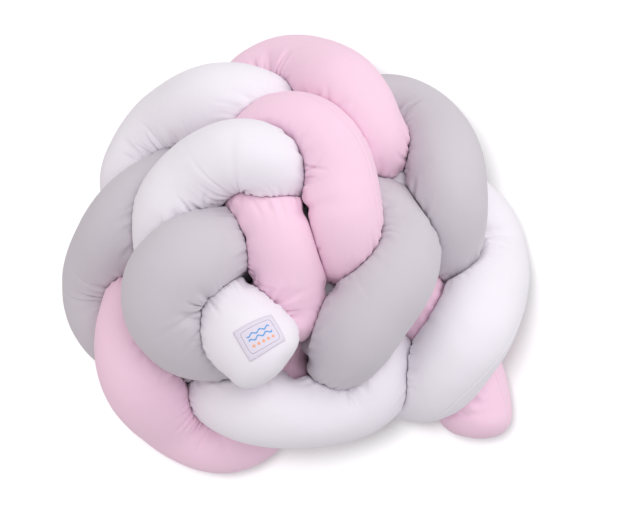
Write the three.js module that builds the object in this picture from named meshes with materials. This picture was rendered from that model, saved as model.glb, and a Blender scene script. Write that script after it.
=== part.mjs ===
// A knotted crib bumper: three stuffed cotton tubes, white, grey and pink, plaited together, and the plait
// coiled up and knotted on itself. A woven tag is sewn on the white tube's upper end.
// Millimetres, +Z up. The origin is the middle of the footprint, on the surface that the knot lies on.
import * as THREE from "three";

// Driving dimensions
const TUBE_DIAMETER = 80; // a stuffed tube where nothing squeezes it
const TUBE_GAP = 1.65; // left between two tubes that press on each other
const END_ROUNDING = 0.36 * TUBE_DIAMETER; // how far from its tip a sewn end starts to round off
const END_SQUARENESS = 2.3; // power of that rounding: 2 is a ball, more is blunter
const TAG_LENGTH = 43;
const TAG_WIDTH = 33;
const TAG_THICKNESS = 1.2;
const TAG_LIFT = 0.8; // between the tag and the tube under it
const TAG_FROM_TIP = 30.5; // its middle, back from the white tube's tip
const TAG_ASIDE = -11.5; // its middle, round the tube from the topmost line
const TAG_SPAN = 20; // of the tube's middle line, where the cloth under the tag is measured
const TAG_TURN = THREE.MathUtils.degToRad(-73.5); // its long side, from the tube's own direction

// How the tubes squash and settle, lengths in tube diameters
const SQUASHED_CONTACT = 0.82; // between the middles of two tubes that touch
const REST_HEIGHT = 0.43; // lowest middle of a tube that lies on the surface
const OWN_TURN = 1.25; // a tube presses on its own later turns past this length
const OWN_BEND = 0.45; // in a tight bend a tube is its own wall past this length
const LARGEST_SWELL = 1.06; // what a squeeze may add to the free girth
const LEAST_RADIUS = 4; // millimetres left where a tube is pinched flat
const CORNER_POWER = 10; // how sharply a tube turns from its free round into a pressed flat

const SETTLE = {
  step: 14, // millimetres between two points of a tube's middle line
  rounds: 200,
  push: 0.5, // share of an overlap that a round takes out
  hold: 0.5, // pull back to the row's place in plan
  lift: 0.02, // pull back to the row's height
  sag: 0.5, // millimetres a round sinks what nothing carries
  stiffness: 0.25,
  kept_bend: 0.7, // share of the rows' own bends that costs no force
};

const SIDES = 16;
const SECTIONS = 88; // of a tube between its rounded ends
const END_SECTIONS = 5;
const FACET_SHARE = 0.4; // of a facet's length and width, how far round a corner its walls are felt
const WALL_STEP = 8; // millimetres between the points that stand for a neighbour's middle line

// Routes of the tubes, from the end in the lowest turn to the end on top of the knot. Each row is a section:
// x and y of the tube's middle in plan, its height, and its girth as a share of TUBE_DIAMETER.
const section = ([x, y, height, girth]) => ({ x, y, height, girth });

const WHITE_ROUTE = [
  // out from under the knot, round the right-hand side and back under
  [108, -129, 40, 1.0],
  [129, -139, 44, 1.02],
  [150, -131, 68, 1.05],
  [165, -106, 94, 1.08],
  [182, -75, 94, 1.14],
  [197, -42, 83, 1.15],
  [203, -9, 60, 1.09],
  [202, 22, 42, 1.03],
  [180, 51, 37, 1.0],
  // hidden under pink, over grey, then round the upper left
  [109, 68, 66, 0.98],
  [69, 78, 70, 0.95],
  [32, 98, 48, 0.95],
  [-25, 141, 96, 0.98],
  [-54, 157, 100, 1.0],
  [-94, 155, 80, 1.0],
  [-134, 143, 64, 1.0],
  [-162, 113, 48, 1.0],
  [-174, 73, 37, 1.0],
  // hidden inside the left-hand side, then round the front
  [-125, 5, 96, 0.95],
  [-101, -61, 44, 0.95],
  [-78, -140, 96, 1.0],
  [-49, -155, 88, 1.0],
  [-6, -159, 80, 1.0],
  [39, -155, 80, 1.0],
  [78, -139, 82, 1.03],
  [90, -108, 70, 1.0],
  // through the middle and over the top on the left
  [31, -22, 108, 0.95],
  [5, 15, 96, 0.95],
  [-26, 89, 168, 0.86],
  [-51, 102, 184, 0.87],
  [-80, 95, 178, 0.92],
  [-109, 74, 164, 0.97],
  [-127, 42, 140, 1.0],
  // under grey and out on top, where the tag is
  [-117, -18, 116, 1.0],
  [-67, -67, 154, 1.03],
  [-41, -88, 174, 1.06],
  [-12, -115, 174, 1.08],
].map(section);

const GREY_ROUTE = [
  // out from under the middle and up over the right-hand side
  [84, -74, 40, 0.95],
  [139, -34, 55, 1.0],
  [152, -2, 86, 1.0],
  [158, 35, 104, 1.0],
  [158, 71, 100, 1.0],
  [153, 106, 86, 1.01],
  [139, 134, 66, 1.01],
  [116, 154, 48, 1.0],
  [85, 154, 37, 1.0],
  // hidden under pink and white, then round the left-hand side
  [21, 114, 96, 0.95],
  [-48, 104, 44, 0.95],
  [-119, 73, 96, 1.0],
  [-153, 54, 100, 1.0],
  [-186, 20, 80, 1.01],
  [-209, -19, 60, 1.0],
  [-211, -54, 48, 1.0],
  [-192, -85, 38, 1.0],
  // hidden under pink and white, then up over the middle
  [-159, -100, 48, 0.95],
  [-76, -97, 80, 0.95],
  [-37, -102, 48, 0.95],
  [2, -117, 60, 0.95],
  [29, -106, 106, 1.03],
  [55, -86, 147, 1.1],
  [93, -30, 163, 1.07],
  [107, -2, 156, 1.02],
  [100, 29, 132, 1.0],
  // under pink, then over the top and round the white end
  [70, 48, 116, 0.95],
  [3, 34, 132, 0.9],
  [-27, 11, 116, 0.9],
  [-84, 9, 164, 1.02],
  [-111, -7, 182, 1.07],
  [-131, -30, 174, 1.07],
  [-130, -56, 160, 1.04],
  [-112, -76, 146, 0.98],
  [-90, -88, 130, 0.94],
  [-35, -88, 108, 0.9],
].map(section);

const PINK_ROUTE = [
  // the free end at the lower right, in under white and grey
  [196, -202, 40, 1.0],
  [196, -162, 40, 1.0],
  [147, -76, 38, 0.98],
  [119, -39, 59, 0.95],
  [108, 74, 38, 0.95],
  // up and over the back
  [85, 101, 72, 0.98],
  [69, 132, 104, 1.0],
  [56, 163, 100, 1.0],
  [29, 187, 84, 1.0],
  [-4, 199, 64, 1.0],
  [-33, 189, 48, 1.0],
  [-53, 159, 37, 1.0],
  // hidden under white and grey, then round the lower left
  [-70, 95, 96, 0.95],
  [-107, 36, 44, 0.95],
  [-155, -33, 76, 1.0],
  [-166, -68, 100, 1.0],
  [-166, -111, 84, 1.02],
  [-152, -149, 68, 1.03],
  [-123, -183, 52, 1.03],
  [-85, -200, 42, 1.02],
  [-53, -192, 37, 1.0],
  // hidden under white and grey, then over the top at the back
  [-26, -159, 44, 0.95],
  [-6, -119, 80, 0.95],
  [35, -49, 76, 0.95],
  [50, 8, 148, 0.98],
  [47, 50, 184, 1.0],
  [40, 88, 180, 1.0],
  [22, 116, 172, 1.0],
  [-5, 125, 156, 1.0],
  // under white and down the middle, to the end under the white one
  [-35, 112, 134, 0.98],
  [-30, 53, 156, 1.0],
  [-15, 15, 158, 1.02],
  [-9, -26, 146, 1.02],
  [-13, -92, 106, 0.92],
].map(section);

const cloth = (colour) => new THREE.MeshStandardMaterial({ color: colour, roughness: 0.9, metalness: 0 });
const TUBES = {
  white_tube: { route: WHITE_ROUTE, material: cloth(0xf3f1f7) },
  grey_tube: { route: GREY_ROUTE, material: cloth(0xc6c3c8) },
  pink_tube: { route: PINK_ROUTE, material: cloth(0xf6cde0) },
};
const TAG_MATERIAL = cloth(0xf1eff5);

const UP = new THREE.Vector3(0, 0, 1);

// A smooth line through points, with ways to ask for a place along it
function smoothLine(points) {
  const line = new THREE.CatmullRomCurve3(points, false, "centripetal");
  line.arcLengthDivisions = 16 * points.length;
  return line;
}

// The middle line that a route asks for, as evenly spaced points that each know their girth
function plannedLine(route) {
  const line = smoothLine(route.map((row) => new THREE.Vector3(row.x, row.y, row.height)));
  const count = Math.round(line.getLength() / SETTLE.step);
  const points = line.getSpacedPoints(count);
  return points.map((place, i) => {
    const along = line.getUtoTmapping(i / count) * (route.length - 1);
    const row = Math.min(Math.floor(along), route.length - 2);
    const girth = THREE.MathUtils.lerp(route[row].girth, route[row + 1].girth, along - row);
    return { place, plan: place.clone(), girth };
  });
}

// What all other points push a point by, where they are nearer than two squashed tubes can be
function pushOn(point, line, index, lines, ownTurn) {
  const push = new THREE.Vector3();
  const away = new THREE.Vector3();
  let touching = 0;
  for (const other of lines) {
    for (const [i, neighbour] of other.entries()) {
      if (other === line && Math.abs(i - index) < ownTurn) continue;
      away.subVectors(point.place, neighbour.place);
      const reach = SQUASHED_CONTACT * TUBE_DIAMETER * (point.girth + neighbour.girth) / 2;
      const distance = away.length();
      if (distance >= reach || distance === 0) continue;
      push.addScaledVector(away, (reach - distance) / distance);
      touching += 1;
    }
  }
  return push.multiplyScalar(SETTLE.push / Math.max(touching, 1));
}

// Halfway between a point's two neighbours, in their present places or as planned
function halfway(line, index, key) {
  return new THREE.Vector3().addVectors(line[index - 1][key], line[index + 1][key]).multiplyScalar(0.5);
}

// Evens out the bends of a line: each point goes halfway to the middle of its two neighbours
function easeBends(line) {
  const inner = line.slice(1, -1);
  const places = inner.map((point, i) => halfway(line, i + 1, "place").lerp(point.place, 0.5));
  for (const [i, point] of inner.entries()) point.place = places[i];
}

// Lets the tubes sink, push each other apart and keep their bends until they lie on each other
function settle(lines) {
  const ownTurn = OWN_TURN * TUBE_DIAMETER / SETTLE.step;
  for (let round = 0; round < SETTLE.rounds; round += 1) {
    for (const line of lines) {
      for (const [index, point] of line.entries()) {
        const pull = new THREE.Vector3().subVectors(point.plan, point.place);
        pull.multiply(new THREE.Vector3(SETTLE.hold, SETTLE.hold, SETTLE.lift));
        point.moved = pushOn(point, line, index, lines, ownTurn).add(pull).add(point.place);
        point.moved.z -= SETTLE.sag;
      }
    }
    for (const line of lines) {
      for (const [index, point] of line.entries()) {
        point.place = point.moved.clone();
        if (index === 0 || index === line.length - 1) continue;
        const planned = halfway(line, index, "plan").sub(point.plan).multiplyScalar(SETTLE.kept_bend);
        const straight = halfway(line, index, "moved").sub(planned);
        point.place.lerp(straight, SETTLE.stiffness);
      }
      for (const point of line) point.place.z = Math.max(point.place.z, REST_HEIGHT * TUBE_DIAMETER);
    }
  }
  for (const line of lines) easeBends(line);
}

// Directions across a line at even steps, carried along it without twisting
function untwistedSides(curve, count) {
  const side = new THREE.Vector3().crossVectors(curve.getTangentAt(0), UP).normalize();
  return Array.from({ length: count + 1 }, (_, i) => {
    side.projectOnPlane(curve.getTangentAt(i / count)).normalize();
    return side.clone();
  });
}

// Share of its girth that a tube keeps near its two sewn ends
function closing(length, station) {
  const fromTip = Math.max(Math.min(station, length - station), 0);
  const inwards = 1 - Math.min(fromTip / END_ROUNDING, 1);
  return (1 - inwards ** END_SQUARENESS) ** (1 / END_SQUARENESS);
}

// How much a tube gives way to its neighbours where its end closes, as an area
function give(length, station) {
  return (TUBE_DIAMETER / 2) ** 2 * (1 - closing(length, station) ** 2);
}

// A settled tube: its middle line, and evenly spaced points of it that its neighbours press against
function tubeFrom(line) {
  const curve = smoothLine(line.map((point) => point.place));
  const length = curve.getLength();
  const count = Math.round(length / WALL_STEP);
  return {
    curve,
    length,
    wall: curve.getSpacedPoints(count),
    wallStep: length / count,
    gives: Array.from({ length: count + 1 }, (_, i) => give(length, i * length / count)),
    sides: untwistedSides(curve, count),
    girths: line.map((point) => point.girth),
    swells: [1],
  };
}

// A value from an evenly spaced list, at a share of its length
function along(list, share) {
  const position = THREE.MathUtils.clamp(share, 0, 1) * (list.length - 1);
  const start = Math.min(Math.floor(position), Math.max(list.length - 2, 0));
  return THREE.MathUtils.lerp(list[start], list[Math.min(start + 1, list.length - 1)], position - start);
}

// How far out a tube can go before it meets another tube, or itself in a bend: halfway, but nearer to an end
function wallDistance(tube, station, middle, direction, tubes) {
  const away = new THREE.Vector3();
  const ownGive = give(tube.length, station);
  let nearest = Infinity;
  for (const other of tubes) {
    for (const [i, point] of other.wall.entries()) {
      const isOwnStretch = other === tube && Math.abs(i * other.wallStep - station) < OWN_BEND * TUBE_DIAMETER;
      if (isOwnStretch) continue;
      away.subVectors(point, middle);
      const ahead = away.dot(direction);
      const apart = away.lengthSq() + other.gives[i] - ownGive;
      if (ahead > 0) nearest = Math.min(nearest, apart / (2 * ahead));
    }
  }
  return Math.max(nearest - TUBE_GAP / 2, LEAST_RADIUS);
}

// The radius of a tube that nothing squeezes
function freeRadius(tube, station) {
  const share = station / tube.length;
  const girth = along(tube.girths, share) * along(tube.swells, share);
  return TUBE_DIAMETER / 2 * girth * closing(tube.length, station);
}

// The smaller of two lengths, with a rounded corner where they are alike
function softLesser(a, b) {
  return (a ** -CORNER_POWER + b ** -CORNER_POWER) ** (-1 / CORNER_POWER);
}

// The radius of a tube between its walls, stopped by the surface it lies on
function pressedRadius(tube, station, middle, direction, wall) {
  const free = Math.max(freeRadius(tube, station), 0.01);
  const toFloor = direction.z < 0 ? middle.z / -direction.z : Infinity;
  return Math.min(softLesser(free, wall), toFloor);
}

// The middle of a tube's section and two directions across it, square to each other
function crossSection(tube, station) {
  const share = THREE.MathUtils.clamp(station / tube.length, 0, 1);
  const middle = tube.curve.getPointAt(share);
  const forward = tube.curve.getTangentAt(share);
  const position = share * (tube.sides.length - 1);
  const start = Math.min(Math.floor(position), tube.sides.length - 2);
  const side = tube.sides[start].clone().lerp(tube.sides[start + 1], position - start);
  side.projectOnPlane(forward).normalize();
  return { middle, side, over: new THREE.Vector3().crossVectors(side, forward) };
}

function directionAt(frame, angle) {
  return frame.over.clone().multiplyScalar(Math.cos(angle)).addScaledVector(frame.side, Math.sin(angle));
}

// The angle at which a section is highest
function topAngle(frame) {
  return Math.atan2(frame.side.z, frame.over.z);
}

// A point of the surface. Its wall is the nearest one within the reach of the facets that meet there, so that
// their flats cut into no neighbour.
function surfacePoint(tube, station, angle, lift, facet, tubes) {
  let wall = Infinity;
  for (const ahead of [-facet.length, 0, facet.length]) {
    const near = THREE.MathUtils.clamp(station + ahead, 0, tube.length);
    const frame = crossSection(tube, near);
    for (const aside of [-facet.turn, 0, facet.turn]) {
      const direction = directionAt(frame, angle + aside);
      wall = Math.min(wall, wallDistance(tube, near, frame.middle, direction, tubes));
    }
  }
  const frame = crossSection(tube, station);
  const direction = directionAt(frame, angle);
  const radius = pressedRadius(tube, station, frame.middle, direction, wall);
  return frame.middle.addScaledVector(direction, radius + lift);
}

// Where a tube is squeezed its filling goes elsewhere, so the free part of the section swells a little
function findSwells(tube, tubes) {
  const directions = 24;
  const reach = 4; // places to either side that share a squeeze
  const kept = tube.wall.map((middle, i) => {
    const station = i * tube.wallStep;
    const frame = crossSection(tube, station);
    const free = Math.max(freeRadius(tube, station), LEAST_RADIUS);
    let area = 0;
    for (let k = 0; k < directions; k += 1) {
      const direction = directionAt(frame, 2 * Math.PI * k / directions);
      area += softLesser(free, wallDistance(tube, station, middle, direction, tubes)) ** 2 / directions;
    }
    return area / free ** 2;
  });
  return kept.map((_, i) => {
    const around = kept.slice(Math.max(i - reach, 0), i + reach + 1);
    const mean = around.reduce((sum, share) => sum + share, 0) / around.length;
    return Math.min(mean ** -0.5, LARGEST_SWELL);
  });
}

function closedGeometry(points, triangles) {
  const geometry = new THREE.BufferGeometry().setFromPoints(points);
  geometry.setIndex(triangles);
  geometry.computeVertexNormals();
  return geometry;
}

// A stuffed tube: rings of points along its middle line, closed by a point at each tip
function tubeGeometry(tube, tubes) {
  const stations = [];
  for (let i = 1; i < END_SECTIONS; i += 1) {
    stations.push(END_ROUNDING * (1 - Math.cos(Math.PI / 2 * i / END_SECTIONS)));
  }
  const firstStations = [...stations];
  for (let i = 0; i < SECTIONS; i += 1) {
    stations.push(THREE.MathUtils.lerp(END_ROUNDING, tube.length - END_ROUNDING, i / (SECTIONS - 1)));
  }
  stations.push(...firstStations.map((station) => tube.length - station).reverse());

  const facet = {
    length: FACET_SHARE * (tube.length - 2 * END_ROUNDING) / (SECTIONS - 1),
    turn: FACET_SHARE * 2 * Math.PI / SIDES,
  };
  const points = stations.flatMap((station) =>
    Array.from({ length: SIDES }, (_, k) =>
      surfacePoint(tube, station, 2 * Math.PI * k / SIDES, 0, facet, tubes),
    ),
  );
  const startTip = points.push(tube.curve.getPointAt(0)) - 1;
  const endTip = points.push(tube.curve.getPointAt(1)) - 1;
  const lastRing = (stations.length - 1) * SIDES;

  const triangles = [];
  for (let k = 0; k < SIDES; k += 1) {
    const next = (k + 1) % SIDES;
    triangles.push(startTip, next, k);
    triangles.push(endTip, lastRing + k, lastRing + next);
    for (let ring = 0; ring < lastRing; ring += SIDES) {
      const [a, b, c, d] = [ring + k, ring + next, ring + SIDES + next, ring + SIDES + k];
      triangles.push(a, b, c, a, c, d);
    }
  }
  return closedGeometry(points, triangles);
}

// The sewn tag: a thin woven strip bent over the tube's surface
function tagGeometry(tube, tubes) {
  const across = 8; // steps along its length
  const deep = 6; // and along its width
  const station = tube.length - TAG_FROM_TIP;
  const radius = freeRadius(tube, station);
  const middle = topAngle(crossSection(tube, station)) + TAG_ASIDE / radius;
  const facet = { length: 0, turn: 0 };
  // The cloth on the outside of the bend is longer than the tube's middle line
  const before = surfacePoint(tube, station - TAG_SPAN / 2, middle, 0, facet, tubes);
  const after = surfacePoint(tube, station + TAG_SPAN / 2, middle, 0, facet, tubes);
  const stretch = before.distanceTo(after) / TAG_SPAN;
  const pointOn = (i, j, lift) => {
    const u = TAG_LENGTH * (i / across - 0.5);
    const v = TAG_WIDTH * (j / deep - 0.5);
    const ahead = u * Math.cos(TAG_TURN) - v * Math.sin(TAG_TURN);
    const aside = u * Math.sin(TAG_TURN) + v * Math.cos(TAG_TURN);
    return surfacePoint(tube, station + ahead / stretch, middle + aside / radius, lift, facet, tubes);
  };
  const points = [];
  for (const lift of [TAG_LIFT, TAG_LIFT + TAG_THICKNESS]) {
    for (let i = 0; i <= across; i += 1) {
      for (let j = 0; j <= deep; j += 1) points.push(pointOn(i, j, lift));
    }
  }
  const row = deep + 1;
  const layer = (across + 1) * row;
  const triangles = [];
  const face = (a, b, c, d) => triangles.push(a, b, c, a, c, d);
  for (let i = 0; i < across; i += 1) {
    for (let j = 0; j < deep; j += 1) {
      const a = i * row + j;
      face(a, a + row, a + row + 1, a + 1);
      face(layer + a, layer + a + 1, layer + a + row + 1, layer + a + row);
    }
    const start = i * row;
    face(start, layer + start, layer + start + row, start + row);
    face(start + row + deep, layer + start + row + deep, layer + start + deep, start + deep);
  }
  const far = across * row;
  for (let j = 0; j < deep; j += 1) {
    face(j + 1, layer + j + 1, layer + j, j);
    face(far + j, layer + far + j, layer + far + j + 1, far + j + 1);
  }
  return closedGeometry(points, triangles);
}

function namedMesh(name, geometry, material) {
  const mesh = new THREE.Mesh(geometry, material);
  mesh.name = name;
  return mesh;
}

const lines = Object.values(TUBES).map(({ route }) => plannedLine(route));
settle(lines);
const tubes = lines.map(tubeFrom);
for (const tube of tubes) tube.swells = findSwells(tube, tubes);

const group = new THREE.Group();
for (const [i, name] of Object.keys(TUBES).entries()) {
  group.add(namedMesh(name, tubeGeometry(tubes[i], tubes), TUBES[name].material));
}
group.add(namedMesh("sewn_tag", tagGeometry(tubes[0], tubes), TAG_MATERIAL));

export default group;
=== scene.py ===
"""A knotted crib bumper: three stuffed cotton tubes plaited together, and the plait coiled up and knotted.

Metres, +Z up, in the frame of the packed model. Routes are in millimetres and are scaled where they are read.
"""

import math
from functools import partial

import bpy
import numpy as np
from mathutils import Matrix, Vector


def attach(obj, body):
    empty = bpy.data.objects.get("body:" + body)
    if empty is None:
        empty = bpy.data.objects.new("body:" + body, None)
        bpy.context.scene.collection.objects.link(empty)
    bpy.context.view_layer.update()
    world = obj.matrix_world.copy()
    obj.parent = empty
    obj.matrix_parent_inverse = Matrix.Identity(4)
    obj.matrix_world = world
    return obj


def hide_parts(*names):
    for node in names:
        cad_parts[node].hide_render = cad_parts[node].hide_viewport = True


bl_info = {
    "name": "Knotted crib bumper",
    "version": (1, 0, 0),
    "blender": (4, 5, 0),
    "location": "View3D > Sidebar > Bumper",
    "description": "Stuffed cotton tubes plaited and coiled into a knot, with a sewn tag",
    "category": "Add Mesh",
}

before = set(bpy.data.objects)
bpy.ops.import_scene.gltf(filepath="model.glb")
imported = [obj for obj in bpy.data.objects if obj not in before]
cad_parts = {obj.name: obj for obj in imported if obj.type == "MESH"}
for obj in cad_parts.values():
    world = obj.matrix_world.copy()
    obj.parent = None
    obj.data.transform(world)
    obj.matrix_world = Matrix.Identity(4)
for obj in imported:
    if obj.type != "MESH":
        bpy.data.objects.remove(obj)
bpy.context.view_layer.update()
MM = 0.001

# Routes of the tubes, from the end in the lowest turn to the end on top of the knot. Each row is a section:
# the tube's middle in plan and its height, in millimetres, and its girth as a share of the diameter.
WHITE_ROUTE = (
    # out from under the knot, round the right-hand side and back under
    (108, -129, 40, 1.00),
    (129, -139, 44, 1.02),
    (150, -131, 68, 1.05),
    (165, -106, 94, 1.08),
    (182, -75, 94, 1.14),
    (197, -42, 83, 1.15),
    (203, -9, 60, 1.09),
    (202, 22, 42, 1.03),
    (180, 51, 37, 1.00),
    # hidden under pink, over grey, then round the upper left
    (109, 68, 66, 0.98),
    (69, 78, 70, 0.95),
    (32, 98, 48, 0.95),
    (-25, 141, 96, 0.98),
    (-54, 157, 100, 1.00),
    (-94, 155, 80, 1.00),
    (-134, 143, 64, 1.00),
    (-162, 113, 48, 1.00),
    (-174, 73, 37, 1.00),
    # hidden inside the left-hand side, then round the front
    (-125, 5, 96, 0.95),
    (-101, -61, 44, 0.95),
    (-78, -140, 96, 1.00),
    (-49, -155, 88, 1.00),
    (-6, -159, 80, 1.00),
    (39, -155, 80, 1.00),
    (78, -139, 82, 1.03),
    (90, -108, 70, 1.00),
    # through the middle and over the top on the left
    (31, -22, 108, 0.95),
    (5, 15, 96, 0.95),
    (-26, 89, 168, 0.86),
    (-51, 102, 184, 0.87),
    (-80, 95, 178, 0.92),
    (-109, 74, 164, 0.97),
    (-127, 42, 140, 1.00),
    # under grey and out on top, where the tag is
    (-117, -18, 116, 1.00),
    (-67, -67, 154, 1.03),
    (-41, -88, 174, 1.06),
    (-12, -115, 174, 1.08),
)

GREY_ROUTE = (
    # out from under the middle and up over the right-hand side
    (84, -74, 40, 0.95),
    (139, -34, 55, 1.00),
    (152, -2, 86, 1.00),
    (158, 35, 104, 1.00),
    (158, 71, 100, 1.00),
    (153, 106, 86, 1.01),
    (139, 134, 66, 1.01),
    (116, 154, 48, 1.00),
    (85, 154, 37, 1.00),
    # hidden under pink and white, then round the left-hand side
    (21, 114, 96, 0.95),
    (-48, 104, 44, 0.95),
    (-119, 73, 96, 1.00),
    (-153, 54, 100, 1.00),
    (-186, 20, 80, 1.01),
    (-209, -19, 60, 1.00),
    (-211, -54, 48, 1.00),
    (-192, -85, 38, 1.00),
    # hidden under pink and white, then up over the middle
    (-159, -100, 48, 0.95),
    (-76, -97, 80, 0.95),
    (-37, -102, 48, 0.95),
    (2, -117, 60, 0.95),
    (29, -106, 106, 1.03),
    (55, -86, 147, 1.10),
    (93, -30, 163, 1.07),
    (107, -2, 156, 1.02),
    (100, 29, 132, 1.00),
    # under pink, then over the top and round the white end
    (70, 48, 116, 0.95),
    (3, 34, 132, 0.90),
    (-27, 11, 116, 0.90),
    (-84, 9, 164, 1.02),
    (-111, -7, 182, 1.07),
    (-131, -30, 174, 1.07),
    (-130, -56, 160, 1.04),
    (-112, -76, 146, 0.98),
    (-90, -88, 130, 0.94),
    (-35, -88, 108, 0.90),
)

PINK_ROUTE = (
    # the free end at the lower right, in under white and grey
    (196, -202, 40, 1.00),
    (196, -162, 40, 1.00),
    (147, -76, 38, 0.98),
    (119, -39, 59, 0.95),
    (108, 74, 38, 0.95),
    # up and over the back
    (85, 101, 72, 0.98),
    (69, 132, 104, 1.00),
    (56, 163, 100, 1.00),
    (29, 187, 84, 1.00),
    (-4, 199, 64, 1.00),
    (-33, 189, 48, 1.00),
    (-53, 159, 37, 1.00),
    # hidden under white and grey, then round the lower left
    (-70, 95, 96, 0.95),
    (-107, 36, 44, 0.95),
    (-155, -33, 76, 1.00),
    (-166, -68, 100, 1.00),
    (-166, -111, 84, 1.02),
    (-152, -149, 68, 1.03),
    (-123, -183, 52, 1.03),
    (-85, -200, 42, 1.02),
    (-53, -192, 37, 1.00),
    # hidden under white and grey, then over the top at the back
    (-26, -159, 44, 0.95),
    (-6, -119, 80, 0.95),
    (35, -49, 76, 0.95),
    (50, 8, 148, 0.98),
    (47, 50, 184, 1.00),
    (40, 88, 180, 1.00),
    (22, 116, 172, 1.00),
    (-5, 125, 156, 1.00),
    # under white and down the middle, to the end under the white one
    (-35, 112, 134, 0.98),
    (-30, 53, 156, 1.00),
    (-15, 15, 158, 1.02),
    (-9, -26, 146, 1.02),
    (-13, -92, 106, 0.92),
)

# How the tubes squash and settle, lengths in tube diameters unless they say millimetres
SQUASHED_CONTACT = 0.82  # between the middles of two tubes that touch
REST_HEIGHT = 0.43  # lowest middle of a tube that lies on the surface
OWN_TURN = 1.25  # a tube presses on its own later turns past this length
OWN_BEND = 0.45  # in a tight bend a tube is its own wall past this length
LARGEST_SWELL = 1.06  # what a squeeze may add to the free girth
END_ROUNDING = 0.36  # how far from its tip a sewn end starts to round off
END_SQUARENESS = 2.3  # power of that rounding: 2 is a ball, more is blunter
CORNER_POWER = 40  # how sharply a tube turns from its free round into a pressed flat
LEAST_RADIUS = 4 * MM  # left where a tube is pinched flat
SETTLE_STEP = 14 * MM  # between two points of a middle line
SETTLE_ROUNDS = 200
SETTLE_PUSH = 0.5  # share of an overlap that a round takes out
SETTLE_PULL = np.array((0.5, 0.5, 0.02))  # back to the row's place in plan and to its height
SETTLE_SAG = 0.5 * MM  # what a round sinks a point that nothing carries
SETTLE_STIFFNESS = 0.25
KEPT_BEND = 0.7  # share of the rows' own bends that costs no force
WALL_STEP = 4 * MM  # between the points that stand for a neighbour's middle line
WALL_REACH = 0.13  # how far away a neighbour still matters
GUIDE_STEP = 2.5 * MM  # between the sections where the walls round a tube are worked out
GUIDE_SIDES = 128
GIRTH_BLUR = 10  # points of the middle line over which the girths are evened out
BEND_BLUR = 8  # the same for its bends
SWELL_SIDES = 24  # directions in which the free share of a section is measured
SWELL_BLUR = 8
TINY = 1e-9  # keeps a division away from zero

# How the cloth creases and is sewn, in millimetres. Puckers and wrinkles are as deep as the crease depth says.
CREASE_LIMITS = (-1.6, 0.5)  # deepest valley and highest lip where creases run together
CREASE_LEAN = 0.5  # most by which one side of a crease is steeper than the other
LIP_HEIGHT = 0.45
LIP_WIDTH = 2.7  # in widths of the valley
PUCKER_SPACING = (0.5, 1.5)  # shares of the usual spacing
PUCKER_SLANT = 0.25  # usual turn away from straight out of the edge, in radians
PUCKER_CURL = 5.0  # usual curve, per metre
PUCKER_RANGES = ((0.5, 1.5), (0.5, 1.5), (0.7, 2.3))  # strength, reach and spread
SQUEEZE_FORCE = 4.2  # of a pucker across a bend's inner side, by how sharp the bend is
LARGEST_SQUEEZE = 1.5
TUCK_FORCE = 0.8  # of a pucker that runs along the tube, out from under a neighbour
LEAST_FORCE = 0.12  # a weaker pucker isn't made
FULL_FORCE_RADIUS = 0.4  # share of the diameter under which puckers get weaker
PUCKER_LENGTH = (8, 14, 8)  # of the least one, and what the squeeze and the tuck add
PUCKER_WIDTH = (0.6, 0.9)  # of the least one, and what the force adds
PUCKER_START = (0.15, 4)  # extra depth at the edge, as a share, and its reach
PUCKER_HIDDEN = 3  # reach of its part under the neighbour
WRINKLE_SPACING = (1.2, 3.2)  # shares of the usual spacing
WRINKLE_SLANT = 0.2  # usual turn away from straight across, in radians
WRINKLE_ASIDE = 0.3  # usual distance of its middle from the inner side, in radians
WRINKLE_RANGES = ((0.3, 1.1), (0.5, 1.4), (0.8, 2.2))  # strength, reach and spread
WRINKLE_FORCE = 0.14  # of a wrinkle on a straight stretch
WRINKLE_LENGTH = (22, 36)  # half of it on a straight stretch, and what the force adds
WRINKLE_WIDTH = (0.7, 0.7)  # of the least one, and what the strength adds
WRINKLE_SPAN = 25  # along the tube to either side
SEAM_WANDER = (9, 0.35)  # spacing and share of the unevenness along the seam
SEAM_GROOVE = (1.3, 0.45)  # half width and depth
SEAM_BAND = (1.6, 3.8, 5.4, 0.3)  # from the seam: full height, start and end of its fall, and the height
END_SEAM_FADE = (18, 32)  # from the tip: where the end's seam starts to fade and where it stops
LUMPS = ((46, 1.0), (19, 0.4))  # size of the filling's lumps, and their share of the lump height
END_PUCKERS = (-38, 39, 7.5)  # across a sewn end: the first place, the limit and the spacing
END_PUCKER_REACH = (7, 20)
END_PUCKER_DEPTH = (0.9, 2.2)
HOLLOW_FADE = 15  # height over which a hollow gets its full depth
TAG_GRID = (66, 48)  # faces of the tag along and across
TAG_SPAN = 20  # of the tube's middle line, where the cloth under the tag is measured

# Where the lengthwise seam of each tube runs: millimetres along it, and degrees round it
SEAMS = {
    "white": ((0, 95), (88, 106), (130, 127), (230, 150), (420, 230), (2087, 290)),
    "grey": ((0, 190), (1943, 200)),
    "pink": (
        (0, 62), (24, 57), (44, 47), (70, 42), (300, 170), (1450, 170),
        (1560, 72), (1658, 58), (1700, 50), (1760, 44), (1850, 120), (2040, 150),
    ),
}
# Dark hollows where tubes meet: x and y of the middle, the lowest height, the radius and depth in millimetres
HOLLOWS = ((8, 44, 120, 8, 3.5), (37, -34, 100, 8, 3.5), (1, -114, 85, 12, 15), (-46, -24, 120, 7, 5))

UP = np.array((0.0, 0.0, 1.0))


def length_property(name, description, default):
    """A size in metres that a user may change."""
    return bpy.props.FloatProperty(name=name, description=description, default=default, unit="LENGTH")


def power_property(name, description, default):
    """The power of a light, in watts."""
    return bpy.props.FloatProperty(name=name, description=description, default=default, unit="POWER")


def colour_property(name, description, default):
    """A colour, given as red, green and blue."""
    return bpy.props.FloatVectorProperty(
        name=name, description=description, default=(*default, 1), size=4, subtype="COLOR"
    )


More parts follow.
